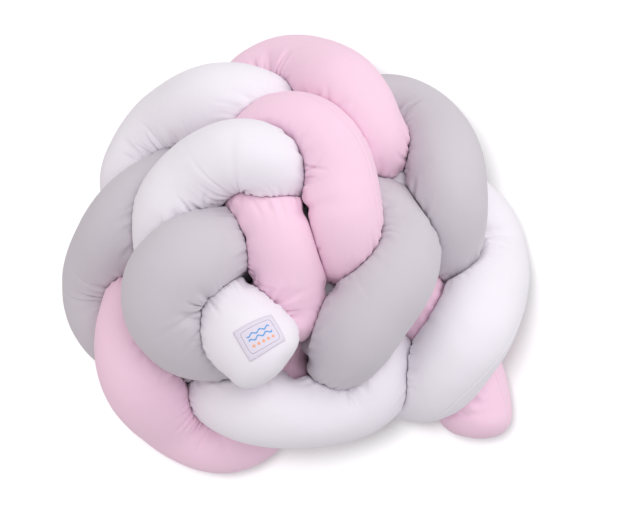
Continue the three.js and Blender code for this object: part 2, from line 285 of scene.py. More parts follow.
class BumperShape(bpy.types.PropertyGroup):
    """Sizes of the stuffed tubes"""

    diameter: length_property("Tube diameter", "Across a stuffed tube where nothing squeezes it", 80 * MM)
    gap: length_property("Gap", "Left between two tubes that press on each other", 0.12 * MM)
    rings: bpy.props.IntProperty(
        name="Rings", description="Sections of a tube's mesh along its length", default=1090
    )
    sides: bpy.props.IntProperty(name="Sides", description="Points of a section of a tube's mesh", default=90)
    crease_depth: length_property("Crease depth", "Of a pucker on the inside of a sharp bend", 2.9 * MM)
    crease_spacing: length_property("Crease spacing", "Usual distance between two puckers", 5.6 * MM)
    lump_height: length_property("Lump height", "How uneven the loose filling makes the cloth", 0.7 * MM)


class BumperTag(bpy.types.PropertyGroup):
    """Sizes and place of the sewn tag"""

    length: length_property("Length", "Of the tag's long side", 43 * MM)
    width: length_property("Width", "Of the tag's short side", 33 * MM)
    thickness: length_property("Thickness", "Of the folded ribbon", 1.0 * MM)
    lift: length_property("Lift", "Between the tag and the tube", 0.4 * MM)
    from_tip: length_property("From tip", "Its middle, back from the tube's tip", 30.5 * MM)
    aside: length_property("Aside", "Its middle, round from the topmost line", -11.5 * MM)
    turn: bpy.props.FloatProperty(
        name="Turn",
        description="Of its long side, from the tube's own direction",
        default=math.radians(-73.5),
        subtype="ANGLE",
    )


class BumperColours(bpy.types.PropertyGroup):
    """Colours of the cloths"""

    white: colour_property("White cloth", "Colour of the white tube", (0.837, 0.798, 0.864))
    grey: colour_property("Grey cloth", "Colour of the grey tube", (0.583, 0.541, 0.591))
    pink: colour_property("Pink cloth", "Colour of the pink tube", (0.885, 0.61, 0.754))
    ribbon: colour_property("Tag ribbon", "Colour of the tag", (0.745, 0.69, 0.8))
    print_line: colour_property("Print, frame", "Colour of the thin frame on the tag", (0.12, 0.13, 0.2))
    print_waves: colour_property("Print, waves", "Colour of the waves on the tag", (0.11, 0.34, 0.7))
    print_dots: colour_property("Print, dots", "Colour of the dots on the tag", (0.87, 0.4, 0.23))


class BumperStage(bpy.types.PropertyGroup):
    """The camera and the light"""

    camera_height: length_property("Camera height", "Above the floor", 2.0)
    camera_aside: length_property("Camera aside", "Of the knot's middle, along X", 15.5 * MM)
    view_width: length_property("View width", "Of the floor that the camera sees", 0.6944)
    floor_colour: colour_property("Floor", "Colour of the floor as the camera sees it", (0.95, 0.95, 0.95))
    key_power: power_property("Key light", "Power of the low light at the upper right", 34.0)
    top_power: power_property("Top light", "Power of the light that comes nearly from above", 35.0)
    fill_power: power_property("Fill light", "Power of the low light at the left", 16.5)
    floor_power: power_property("Floor light", "Power of the light that is for the floor only", 75.0)
    sky_strength: bpy.props.FloatProperty(
        name="Sky", description="Strength of the even light from all round", default=0.73
    )


def catmull_rom(points, steps):
    """Points on the smooth curve through points, steps of them to a stretch."""
    padded = np.vstack((2 * points[0] - points[1], points, 2 * points[-1] - points[-2]))
    p0, p1, p2, p3 = (padded[i : len(padded) - 3 + i, None] for i in range(4))
    k1 = np.linalg.norm(p1 - p0, axis=2, keepdims=True) ** 0.5
    k2 = k1 + np.linalg.norm(p2 - p1, axis=2, keepdims=True) ** 0.5
    k3 = k2 + np.linalg.norm(p3 - p2, axis=2, keepdims=True) ** 0.5
    t = k1 + (k2 - k1) * (np.arange(steps) / steps)[None, :, None]
    a1 = ((k1 - t) * p0 + t * p1) / k1
    a2 = ((k2 - t) * p1 + (t - k1) * p2) / (k2 - k1)
    a3 = ((k3 - t) * p2 + (t - k2) * p3) / (k3 - k2)
    b1 = ((k2 - t) * a1 + t * a2) / k2
    b2 = ((k3 - t) * a2 + (t - k1) * a3) / (k3 - k1)
    inner = ((k2 - t) * b1 + (t - k1) * b2) / (k2 - k1)
    return np.vstack((inner.reshape(-1, points.shape[1]), points[-1]))


def lengths_along(points):
    steps = np.linalg.norm(np.diff(points, axis=0), axis=1)
    return np.concatenate(((0.0,), np.cumsum(steps)))


def look_up(at, known, values):
    """Values between the known ones, a column at a time."""
    if values.ndim == 1:
        return np.interp(at, known, values)
    return np.stack([np.interp(at, known, column) for column in values.T], axis=1)


def unit(vectors):
    return vectors / np.linalg.norm(vectors, axis=-1, keepdims=True)


def planned_line(route):
    """The middle line that a route asks for: evenly spaced points, and the girth at each."""
    rows = np.array(route, float)
    steps = 16
    dense = catmull_rom(rows[:, :3] * MM, steps)
    along = lengths_along(dense)
    count = round(along[-1] / SETTLE_STEP) + 1
    at = np.linspace(0, along[-1], count)
    row_at = np.interp(at, along, np.arange(len(dense)) / steps)
    return look_up(at, along, dense), np.interp(row_at, np.arange(len(rows)), rows[:, 3])


def settle(lines, girths, diameter):
    """Lets the tubes sink, push each other apart and keep their bends until they lie on each other."""
    planned = np.vstack(lines)
    place = planned.copy()
    girth = np.concatenate(girths)
    tube = np.repeat(np.arange(len(lines)), [len(line) for line in lines])
    index = np.concatenate([np.arange(len(line)) for line in lines])
    reach = SQUASHED_CONTACT * diameter * (girth[:, None] + girth) / 2
    own = (tube[:, None] == tube) & (np.abs(index[:, None] - index) < OWN_TURN * diameter / SETTLE_STEP)
    reach[own] = 0
    inner = np.flatnonzero((tube[:-2] == tube[1:-1]) & (tube[2:] == tube[1:-1])) + 1
    planned_bend = KEPT_BEND * ((planned[inner - 1] + planned[inner + 1]) / 2 - planned[inner])
    for _ in range(SETTLE_ROUNDS):
        away = place[:, None] - place
        distance = np.maximum(np.sqrt((away**2).sum(2)), TINY)
        overlap = np.clip(reach - distance, 0, None)
        touching = np.maximum((overlap > 0).sum(1), 1)
        push = (away * (overlap / distance)[..., None]).sum(1) / touching[:, None]
        moved = place + SETTLE_PUSH * push + SETTLE_PULL * (planned - place)
        moved[:, 2] -= SETTLE_SAG
        place = moved.copy()
        straight = (moved[inner - 1] + moved[inner + 1]) / 2 - planned_bend
        place[inner] += SETTLE_STIFFNESS * (straight - place[inner])
        place[:, 2] = np.maximum(place[:, 2], REST_HEIGHT * diameter)
    place[inner] = (place[inner - 1] + 2 * place[inner] + place[inner + 1]) / 4
    return np.split(place, np.cumsum([len(line) for line in lines])[:-1])


class Tube:
    """A settled tube: its middle line, and how thick it is along its length."""

    def __init__(self, line, girths):
        steps = 8
        self.points = catmull_rom(line, steps)
        self.along = lengths_along(self.points)
        self.length = self.along[-1]
        self.forward = unit(np.gradient(self.points, self.along, axis=0))
        self.sides = self.untwisted_sides()
        shares, known = np.linspace(0, 1, len(self.points)), np.linspace(0, 1, len(girths))
        self.girth = blurred(np.interp(shares, known, girths), GIRTH_BLUR)
        count = round(self.length / WALL_STEP) + 1
        self.wall_stations = np.linspace(0, self.length, count)
        self.wall = look_up(self.wall_stations, self.along, self.points)
        self.swell = np.ones(count)

    def untwisted_sides(self):
        """Directions across the line, carried along it without twisting."""
        side = unit(np.cross(self.forward[0], UP))
        sides = []
        for forward in self.forward:
            side = unit(side - forward * (side @ forward))
            sides.append(side)
        return np.array(sides)

    def section(self, stations):
        """The middles of the sections at some stations, and two directions across each, at right angles."""
        middle = look_up(stations, self.along, self.points)
        forward = unit(look_up(stations, self.along, self.forward))
        side = look_up(stations, self.along, self.sides)
        side = unit(side - forward * (side * forward).sum(1, keepdims=True))
        return middle, side, np.cross(side, forward)

    def closing(self, stations, diameter):
        """Share of its girth that a tube keeps near its two sewn ends."""
        rounding = END_ROUNDING * diameter
        from_tip = np.clip(np.minimum(stations, self.length - stations), 0, rounding)
        return (1 - (1 - from_tip / rounding) ** END_SQUARENESS) ** (1 / END_SQUARENESS)

    def free_radius(self, stations, diameter):
        """The radius of a tube that nothing squeezes."""
        girth = np.interp(stations, self.along, self.girth)
        swell = np.interp(stations, self.wall_stations, self.swell)
        return np.maximum(diameter / 2 * girth * swell * self.closing(stations, diameter), 0.01 * MM)

    def give(self, stations, diameter):
        """How much a tube gives way to its neighbours where its end closes, as an area."""
        return (diameter / 2) ** 2 * (1 - self.closing(stations, diameter) ** 2)

    def bend(self, stations):
        """How sharply the line turns and where to, smoothed."""
        turn = np.gradient(self.forward, self.along, axis=0)
        return look_up(stations, self.along, blurred(turn, BEND_BLUR))


def blurred(values, reach, rounds=2):
    """Values averaged with their neighbours to either side, along the first axis."""
    for _ in range(rounds):
        padded = np.concatenate((values[:1].repeat(reach, 0), values, values[-1:].repeat(reach, 0)))
        total = np.cumsum(np.concatenate((np.zeros_like(padded[:1]), padded)), axis=0)
        values = (total[2 * reach + 1 :] - total[: -2 * reach - 1]) / (2 * reach + 1)
    return values


def blurred_round(values, reach):
    """Values averaged round the second axis, which closes on itself."""
    return sum(np.roll(values, shift, axis=1) for shift in range(-reach, reach + 1)) / (2 * reach + 1)


def directions_of(side, over, angles):
    """Directions at some angles across each section, where the first angle points over."""
    return over[:, None] * np.cos(angles)[..., None] + side[:, None] * np.sin(angles)[..., None]


def bell(distance, reach):
    """1 in the middle, fading to nothing over about two reaches."""
    return np.exp(-((distance / reach) ** 2))


def nearest_turn(angles):
    """The same angles between minus and plus half a turn."""
    return (angles + math.pi) % (2 * math.pi) - math.pi


def wall_distances(tube, stations, middle, directions, tubes, diameter):
    """How far out a tube can go before it meets another tube, or itself in a bend.

    Two tubes meet halfway, but nearer to a tube that closes there.
    """
    nearest = np.full(directions.shape[:2], np.inf)
    points = np.vstack([other.wall for other in tubes])
    station = np.concatenate([np.where(other is tube, other.wall_stations, np.inf) for other in tubes])
    give = np.concatenate([other.give(other.wall_stations, diameter) for other in tubes])
    own_give = tube.give(stations, diameter)
    batch = 10
    for start in range(0, len(stations), batch):
        rows = slice(start, start + batch)
        centre = middle[rows].mean(0)
        near = np.linalg.norm(points - centre, axis=1) < WALL_REACH
        away = points[near][None] - middle[rows, None]
        own = np.abs(station[near][None] - stations[rows, None]) < OWN_BEND * diameter
        ahead = directions[rows] @ away.transpose(0, 2, 1)
        apart = np.maximum((away**2).sum(2) + give[near] - own_give[rows, None], 0)
        reach = apart[:, None] / np.maximum(2 * ahead, TINY)
        reach[(ahead <= 0) | own[:, None].repeat(directions.shape[1], 1)] = np.inf
        nearest[rows] = reach.min(2, initial=np.inf)
    return np.clip(nearest, LEAST_RADIUS, 10 * diameter)


def soft_lesser(a, b):
    """The smaller of two lengths, with a rounded corner where they are alike."""
    return (a**-CORNER_POWER + b**-CORNER_POWER) ** (-1 / CORNER_POWER)


def find_swell(tube, tubes, shape):
    """How much the free part of a section swells with the filling that is squeezed out of the rest."""
    angles = np.linspace(0, 2 * math.pi, SWELL_SIDES, endpoint=False)
    middle, side, over = tube.section(tube.wall_stations)
    directions = directions_of(side, over, angles)
    walls = wall_distances(tube, tube.wall_stations, middle, directions, tubes, shape.diameter)
    clear = np.maximum(walls - shape.gap / 2, LEAST_RADIUS)
    free = np.maximum(tube.free_radius(tube.wall_stations, shape.diameter), LEAST_RADIUS)[:, None]
    kept = (soft_lesser(free, clear) ** 2).mean(1) / free[:, 0] ** 2
    return np.minimum(blurred(kept, SWELL_BLUR, rounds=1) ** -0.5, LARGEST_SWELL)


class Guide:
    """What surrounds a tube, worked out once on an even grid of its stations and angles."""

    def __init__(self, tube, tubes, shape):
        self.tube = tube
        self.stations = np.linspace(0, tube.length, round(tube.length / GUIDE_STEP) + 1)
        self.angles = np.linspace(0, 2 * math.pi, GUIDE_SIDES, endpoint=False)
        middle, side, over = tube.section(self.stations)
        self.directions = directions_of(side, over, self.angles)
        walls = wall_distances(tube, self.stations, middle, self.directions, tubes, shape.diameter)
        self.closeness = 1 / walls
        self.free = tube.free_radius(self.stations, shape.diameter)
        self.ratio = (walls - shape.gap / 2) / np.maximum(self.free, LEAST_RADIUS)[:, None]
        self.points = middle[:, None] + self.directions * np.minimum(walls, self.free[:, None])[..., None]
        self.bend = (tube.bend(self.stations)[:, None] * self.directions).sum(2) * self.free[:, None]

    def read(self, values, stations, angles):
        """Values of the grid at other stations and angles."""
        row = np.clip(stations / (self.stations[1] - self.stations[0]), 0, len(self.stations) - 1.001)
        column = angles / (2 * math.pi) * GUIDE_SIDES
        low_row = row.astype(int)
        low_column = np.floor(column).astype(int)
        row_part = row - low_row
        column_part = column - low_column
        left = low_column % GUIDE_SIDES
        right = (left + 1) % GUIDE_SIDES
        lower = values[low_row, left] * (1 - column_part) + values[low_row, right] * column_part
        upper = values[low_row + 1, left] * (1 - column_part) + values[low_row + 1, right] * column_part
        return lower * (1 - row_part) + upper * row_part


def lattice_noise(points, wavelength, seed):
    """Smooth noise from -1 to 1 with bumps of about one wavelength, at points in space."""
    rng = np.random.default_rng(seed)
    size = 64
    lattice = rng.uniform(-1, 1, (size, size, size))
    always_positive = 1000
    scaled = points / wavelength + always_positive
    cell = np.floor(scaled).astype(int)
    part = scaled - cell
    weight = part * part * (3 - 2 * part)
    total = np.zeros(points.shape[:-1])
    for corner in np.ndindex(2, 2, 2):
        at = (cell + corner) % size
        share = np.where(corner, weight, 1 - weight).prod(-1)
        total += share * lattice[at[..., 0], at[..., 1], at[..., 2]]
    return total


def smooth_step(value, low, high):
    part = np.clip((value - low) / (high - low), 0, 1)
    return part * part * (3 - 2 * part)


def seam_angle(name, stations):
    known = np.array(SEAMS[name], float)
    return np.radians(np.interp(stations, known[:, 0] * MM, known[:, 1]))


def mesh_grid(guide, shape, name):
    """Stations of a mesh's rings and angles of its points, which lie closer together where cloth shows."""
    tube = guide.tube
    least, blur = 0.35, 3
    from_above = least + (1 - least) * smooth_step(guide.directions[..., 2], -0.6, 0.1)
    shown = smooth_step(guide.ratio, 0.94, 1.0) * from_above
    shown = blurred_round(blurred(shown, blur), blur)

    rounding = END_ROUNDING * shape.diameter
    end_rings, least_share, share_blur = 20, 0.18, 6
    ends = rounding * (1 - np.cos(math.pi / 2 * np.arange(1, end_rings) / end_rings))
    share = shown.mean(1)
    weight = blurred(least_share + share / share.max(), share_blur)
    inner = (guide.stations > rounding) & (guide.stations < tube.length - rounding)
    reached = np.concatenate(((0.0,), np.cumsum(weight[inner])))
    known = np.linspace(rounding, tube.length - rounding, len(reached))
    middle = np.interp(np.linspace(0, reached[-1], shape.rings - 2 * len(ends)), reached, known)
    stations = np.concatenate((ends, middle, tube.length - ends[::-1]))

    fine, least_density, seam_extra, seam_reach, density_blur = 360, 0.15, 0.8, 4 * MM, 4
    turn = np.linspace(0, 2 * math.pi, fine + 1)
    from_seam = np.minimum(turn, 2 * math.pi - turn) * shape.diameter / 2
    seam = seam_angle(name, stations)[:, None]
    density = least_density + guide.read(shown, stations[:, None], seam + turn)
    density += seam_extra * density * bell(from_seam, seam_reach)
    density = blurred(density, density_blur)
    reached = np.cumsum((density[:, 1:] + density[:, :-1]) / 2, axis=1)
    reached = np.concatenate((np.zeros((len(stations), 1)), reached), axis=1)
    shares = np.arange(shape.sides) / shape.sides
    angles = np.stack([np.interp(shares * total[-1], total, turn) for total in reached])
    return stations, seam + angles


def pucker_starts(guide, shape, rng):
    """Where puckers start: along the edges of what other tubes press, thinned to their spacing."""
    pressed = guide.ratio < 1.0
    inside = pressed & np.roll(pressed, 1, 1) & np.roll(pressed, -1, 1)
    inside[1:-1] &= pressed[:-2] & pressed[2:]
    rows, columns = np.nonzero(pressed & ~inside)
    places = guide.points[rows, columns]
    chosen = np.empty((0, 3))
    for pick in rng.permutation(len(rows)):
        spacing = shape.crease_spacing * rng.uniform(*PUCKER_SPACING)
        if len(chosen) and (((chosen - places[pick]) ** 2).sum(1) < spacing**2).any():
            continue
        chosen = np.vstack((chosen, places[pick]))
        yield rows[pick], columns[pick]


def pucker_relief(skin, guide, shape, rng):
    """Depth of the puckers: each runs out from a pressed edge, deep there and fading over its length."""
    relief = np.zeros(skin.angles.shape)
    ratio = blurred_round(blurred(np.clip(guide.ratio, 0.3, 1.6), 2, rounds=1), 2)
    lengthwise = np.gradient(ratio, guide.stations, axis=0)
    round_step = 2 * math.pi / GUIDE_SIDES * np.maximum(guide.free, LEAST_RADIUS)[:, None]
    crosswise = (np.roll(ratio, -1, 1) - np.roll(ratio, 1, 1)) / (2 * round_step)
    for row, column in pucker_starts(guide, shape, rng):
        slant, curl = rng.normal(0, PUCKER_SLANT), rng.normal(0, PUCKER_CURL)
        lean = rng.uniform(-CREASE_LEAN, CREASE_LEAN)
        strength, reach, spread = (rng.uniform(*limits) for limits in PUCKER_RANGES)
        slope = np.array((lengthwise[row, column], crosswise[row, column]))
        steepness = np.linalg.norm(slope)
        if steepness < 1e-6:
            continue
        ahead, aside = slope / steepness
        squeeze = min(SQUEEZE_FORCE * max(guide.bend[row, column], 0) * abs(aside), LARGEST_SQUEEZE)
        tuck = TUCK_FORCE * abs(ahead)
        force = (squeeze + tuck) * min(guide.free[row] / (FULL_FORCE_RADIUS * shape.diameter), 1)
        if force < LEAST_FORCE:
            continue
        turned = math.atan2(aside, ahead) + slant
        ahead, aside = math.cos(turned), math.sin(turned)
        least, by_squeeze, by_tuck = PUCKER_LENGTH
        length = (least + by_squeeze * squeeze + by_tuck * tuck) * MM * reach
        depth = shape.crease_depth * force**0.8 * strength
        rings, x, y = skin.around(guide.stations[row], guide.angles[column], length + 10 * MM)
        out = x * ahead + y * aside
        off = -x * aside + y * ahead + curl * out * np.abs(out)
        part = np.clip(out / length, 0, 1)
        extra, extra_reach = PUCKER_START
        start = 1 + extra * np.exp(-np.abs(out) / (extra_reach * MM))
        fade = start * np.where(out < 0, np.exp(out / (PUCKER_HIDDEN * MM)), 1 - part**1.5)
        least, by_force = PUCKER_WIDTH
        width = (least + by_force * force * strength) * spread * MM * (1 + 1.1 * part)
        relief[rings] += depth * fade * furrow(off, width, lean)
    return relief


def wrinkle_relief(skin, guide, shape, rng):
    """Depth of the wrinkles across the inner side of each bend, where the cloth has room to spare."""
    relief = np.zeros(skin.angles.shape)
    level_bend = blurred(guide.tube.bend(guide.stations), BEND_BLUR) * np.array((1, 1, 0))
    place = 0.0
    while place < guide.stations[-1]:
        place += shape.crease_spacing * rng.uniform(*WRINKLE_SPACING)
        slant, aside = rng.normal(0, WRINKLE_SLANT), rng.normal(0, WRINKLE_ASIDE)
        lean = rng.uniform(-CREASE_LEAN, CREASE_LEAN)
        strength, reach, spread = (rng.uniform(*limits) for limits in WRINKLE_RANGES)
        row = min(np.searchsorted(guide.stations, place), len(guide.stations) - 1)
        pull = guide.directions[row] @ level_bend[row] * guide.free[row]
        column = pull.argmax()
        force = pull[column] + WRINKLE_FORCE
        least, by_force = WRINKLE_LENGTH
        half = (least + by_force * force) * MM * reach
        depth = shape.crease_depth * min(3 * force, 1) * strength
        rings, x, y = skin.around(place, guide.angles[column] + aside, WRINKLE_SPAN * MM)
        least, by_strength = WRINKLE_WIDTH
        width = (least + by_strength * strength) * spread * MM * (1 + 0.8 * np.abs(y) / half)
        relief[rings] += depth * bell(y, half) * furrow(x + slant * y, width, lean)
    return relief


def furrow(off, width, lean):
    """The profile of a crease, by the distance from its middle: a valley between two soft lips."""
    width = width * (1 + lean * np.tanh(off / width))
    return LIP_HEIGHT * bell(off, LIP_WIDTH * width) - bell(off, width)


def seam_relief(from_seam, stations, seed):
    """The lengthwise seam: a shallow groove, and beside it the flat band of the turned-in edges."""
    spacing, unevenness = SEAM_WANDER
    groove_width, groove_depth = SEAM_GROOVE
    full, fall, end, height = SEAM_BAND
    wander = 1 + unevenness * np.interp(stations, *uneven_line(stations[-1], spacing * MM, seed))[:, None]
    groove = bell(from_seam, groove_width * MM)
    band = smooth_step(from_seam, 0, full * MM) * (1 - smooth_step(from_seam, fall * MM, end * MM))
    return MM * wander * (height * band - groove_depth * groove)


def uneven_line(length, spacing, seed):
    """Known places and random values from -1 to 1 for an interpolation."""
    rng = np.random.default_rng(seed)
    places = np.arange(0, length + 2 * spacing, spacing)
    return places, rng.uniform(-1, 1, len(places))


def end_seam_relief(from_tip, from_middle, outwards, rng):
    """The seam that closes an end: a ridge across it, level, with small puckers that cross it."""
    level = unit(np.cross(outwards, UP))
    height = from_middle @ np.cross(level, outwards)
    along = from_middle @ level
    near = 1 - smooth_step(from_tip, *(limit * MM for limit in END_SEAM_FADE))
    relief = MM * near * (bell(height, 1.0 * MM) - 0.5 * bell(height, 3 * MM))
    for place in np.arange(*END_PUCKERS) * MM:
        place += rng.normal(0, 1.3) * MM
        reach = rng.uniform(*END_PUCKER_REACH) * MM
        off = along - place - rng.normal(0, 0.25) * height
        pucker = bell(off, 1.4 * MM) - 0.45 * bell(off, 3.4 * MM)
        relief -= near * rng.uniform(*END_PUCKER_DEPTH) * MM * pucker * np.exp(-np.abs(height) / reach)
    return relief


class Skin:
    """The surface of a tube as a grid of points, a row for each ring, that starts at the seam."""

    def __init__(self, guide, shape, name, seed):
        tube = guide.tube
        self.stations, self.angles = mesh_grid(guide, shape, name)
        self.round = (self.angles - self.angles[:, :1]) * shape.diameter / 2
        self.free = tube.free_radius(self.stations, shape.diameter)
        middle, side, over = tube.section(self.stations)
        directions = directions_of(side, over, self.angles)
        closeness = guide.read(guide.closeness, self.stations[:, None], self.angles)
        clear = np.maximum(1 / np.maximum(closeness, 1e-3) - shape.gap / 2, LEAST_RADIUS)
        radius = soft_lesser(self.free[:, None], clear)
        points = middle[:, None] + directions * radius[..., None]
        floor = middle[:, None, 2] / np.maximum(-directions[..., 2], TINY)
        radius = np.minimum(np.minimum(radius + self.relief(guide, shape, points, seed), clear), floor)
        self.radius = np.maximum(radius, 0.1 * MM)
        self.points = middle[:, None] + directions * self.radius[..., None]

    def relief(self, guide, shape, points, seed):
        """How far the cloth rises over the smooth tube: creases, lumps, seams and hollows."""
        tube = guide.tube
        rng = np.random.default_rng(seed)
        relief = pucker_relief(self, guide, shape, rng)
        relief += wrinkle_relief(self, guide, shape, rng)
        relief = np.clip(relief, *(limit * shape.crease_depth for limit in CREASE_LIMITS))
        for number, (size, share) in enumerate(LUMPS):
            relief += shape.lump_height * share * lattice_noise(points, size * MM, seed + number)
        from_seam = nearest_turn(self.angles - self.angles[:, :1]) * self.free[:, None]
        relief += seam_relief(from_seam, self.stations, seed)
        relief *= np.clip(self.free / (0.3 * shape.diameter), 0, 1)[:, None] ** 2
        for x, y, lowest, reach, depth in HOLLOWS:
            distance = np.linalg.norm(points[..., :2] - np.array((x, y)) * MM, axis=2)
            high = smooth_step(points[..., 2] / MM, lowest - HOLLOW_FADE, lowest)
            relief -= depth * MM * bell(distance, reach * MM) * high
        # Both rounds fade out away from the last end, so the first end stays plain and the first round adds
        # next to nothing but its random draws
        from_last = (tube.length - self.stations)[:, None]
        for tip, outwards in ((tube.points[0], -tube.forward[0]), (tube.points[-1], tube.forward[-1])):
            relief += end_seam_relief(from_last, points - tip, outwards, rng)
        return relief

    def around(self, place, angle, span):
        """The rings within a span of a place, and their points' distances from it, along and round."""
        rings = slice(*np.searchsorted(self.stations, (place - span, place + span)))
        x = (self.stations[rings] - place)[:, None]
        return rings, x, nearest_turn(self.angles[rings] - angle) * self.free[rings, None]


KNOT = {}


def knot(shape):
    """The three settled tubes and their skins, worked out once."""
    if not KNOT:
        routes = {"white": WHITE_ROUTE, "grey": GREY_ROUTE, "pink": PINK_ROUTE}
        planned = [planned_line(route) for route in routes.values()]
        girths = [girth for _, girth in planned]
        settled = settle([line for line, _ in planned], girths, shape.diameter)
        tubes = [Tube(line, girth) for line, girth in zip(settled, girths)]
        for tube, swell in [(tube, find_swell(tube, tubes, shape)) for tube in tubes]:
            tube.swell = swell
        for number, (name, tube) in enumerate(zip(routes, tubes)):
            KNOT[name] = (tube, Skin(Guide(tube, tubes, shape), shape, name, 11 + 7 * number))
    return KNOT


def new_piece(name, points, faces, cloth_map):
    """An object with a smooth mesh and a map of its cloth, given as a place for each corner of each face."""
    mesh = bpy.data.meshes.new(name)
    mesh.from_pydata(points.tolist(), [], faces)
    mesh.shade_smooth()
    mesh.uv_layers.new(name="Cloth").uv.foreach_set("vector", cloth_map.astype(np.float32).ravel())
    piece = bpy.data.objects.new(name, mesh)
    bpy.context.scene.collection.objects.link(piece)
    return piece


def tube_piece(name, tube, skin, diameter):
    """A skin as a mesh, closed by a point at each tip, with a map of length along and distance round."""
    rings, sides = skin.angles.shape
    points = np.vstack((skin.points.reshape(-1, 3), tube.points[[0, -1]]))
    ring, side = np.meshgrid(np.arange(rings - 1), np.arange(sides), indexing="ij")
    corners = ((0, 0), (0, 1), (1, 1), (1, 0))
    faces = np.stack([(ring + i) * sides + (side + j) % sides for i, j in corners], axis=2)
    faces = faces.reshape(-1, 4).tolist()
    last = (rings - 1) * sides
    faces += [(rings * sides, (k + 1) % sides, k) for k in range(sides)]
    faces += [(rings * sides + 1, last + k, last + (k + 1) % sides) for k in range(sides)]

    along, turned = skin.stations, np.hstack((skin.round, np.full((rings, 1), math.pi * diameter)))
    places = [np.stack((along[ring + i], turned[ring + i, side + j]), axis=2) for i, j in corners]
    cloth_map = np.stack(places, axis=2).reshape(-1, 2)
    length, first, final = tube.length, turned[0], turned[-1]
    caps = [((0, first[k]), (along[0], first[k + 1]), (along[0], first[k])) for k in range(sides)]
    caps += [((length, final[k]), (along[-1], final[k]), (along[-1], final[k + 1])) for k in range(sides)]
    caps = np.reshape(caps, (-1, 2))
    return new_piece(name, points, faces, np.vstack((cloth_map, caps)))


def feed(tree, node, inputs):
    """Sets inputs of a node, by name or position, to values or to the outputs of other nodes."""
    for key, value in inputs.items():
        if isinstance(value, bpy.types.NodeSocket):
            tree.links.new(value, node.inputs[key])
        else:
            node.inputs[key].default_value = value


def add_node(tree, kind, inputs=None, **properties):
    """A shader node with its properties and its inputs set."""
    node = tree.nodes.new(kind)
    for key, value in properties.items():
        setattr(node, key, value)
    feed(tree, node, inputs or {})
    return node


def new_group(name, inputs, outputs):
    """A shader node group with named sockets, each input given as name: (kind, default).

    Gives the group, the sockets that bring its inputs in, and the node that takes its results.
    """
    group = bpy.data.node_groups.new(name, "ShaderNodeTree")
    for label, (kind, default) in inputs.items():
        socket = group.interface.new_socket(label, in_out="INPUT", socket_type="NodeSocket" + kind)
        if default is not None:
            socket.default_value = default
    for label, kind in outputs.items():
        group.interface.new_socket(label, in_out="OUTPUT", socket_type="NodeSocket" + kind)
    return group, add_node(group, "NodeGroupInput").outputs, add_node(group, "NodeGroupOutput")


def maths(tree, operation, *values, clamp=False):
    """The output of a Math node whose values are numbers or the outputs of other nodes."""
    inputs = dict(enumerate(values))
    return add_node(tree, "ShaderNodeMath", inputs, operation=operation, use_clamp=clamp).outputs[0]


def distance_of(tree, across, up):
    """How far away a point is, by its distances across and up."""
    return maths(tree, "SQRT", maths(tree, "MULTIPLY_ADD", across, across, maths(tree, "MULTIPLY", up, up)))


def within(tree, distance, edge, soft=0.15 * MM):
    """A mask: 1 where a distance is less than an edge, 0 where it is more, with a soft step between."""
    return maths(tree, "DIVIDE", maths(tree, "SUBTRACT", edge, distance), soft, clamp=True)


def apart(tree, vector):
    """The parts of a vector."""
    return add_node(tree, "ShaderNodeSeparateXYZ", {0: vector}).outputs


def weave_group():
    """Fine cotton weave: threads that cross, each a little uneven."""
    group, given, result = new_group(
        "Cotton weave",
        {"Map": ("Vector", None), "Threads per metre": ("Float", 1500.0), "Unevenness": ("Float", 0.5)},
        {"Height": "Float"},
    )
    calc = partial(maths, group)
    scaling = {0: given["Map"], "Scale": given["Threads per metre"]}
    scaled = add_node(group, "ShaderNodeVectorMath", scaling, operation="SCALE").outputs[0]
    noise = add_node(group, "ShaderNodeTexNoise", {"Vector": scaled, "Scale": 0.35, "Detail": 2.0})
    place = apart(group, scaled)
    threads = [calc("SINE", calc("MULTIPLY", place[axis], math.pi)) for axis in ("X", "Y")]
    wobble = calc("MULTIPLY", noise.outputs["Fac"], given["Unevenness"])
    feed(group, result, {"Height": calc("MULTIPLY_ADD", *threads, wobble)})
    return group


def tone_and_shade_group():
    """Slight changes of tone that dye and handling leave in a cloth, and the painted shade that darkens its
    seams' grooves and stitch gaps.
    """
    group, given, result = new_group(
        "Cloth tone and painted shade",
        {
            "Colour": ("Color", (0.8, 0.8, 0.8, 1)),
            "Amount": ("Float", 0.04),
            "Place": ("Vector", None),
            "Shade": ("Float", 0.0),
        },
        {"Colour": "Color"},
    )
    calc = partial(maths, group)
    patches = {"Vector": given["Place"], "Scale": 22.0, "Detail": 4.0, "Roughness": 0.6}
    noise = add_node(group, "ShaderNodeTexNoise", patches)
    centred = calc("SUBTRACT", noise.outputs["Fac"], 0.5)
    # the Shade input is painted shade, taken off the brightness
    light = calc("SUBTRACT", calc("MULTIPLY_ADD", centred, given["Amount"], 1.0), given["Shade"])
    tinted = add_node(group, "ShaderNodeVectorMath", {0: given["Colour"], "Scale": light}, operation="SCALE")
    feed(group, result, {"Colour": tinted.outputs[0]})
    return group


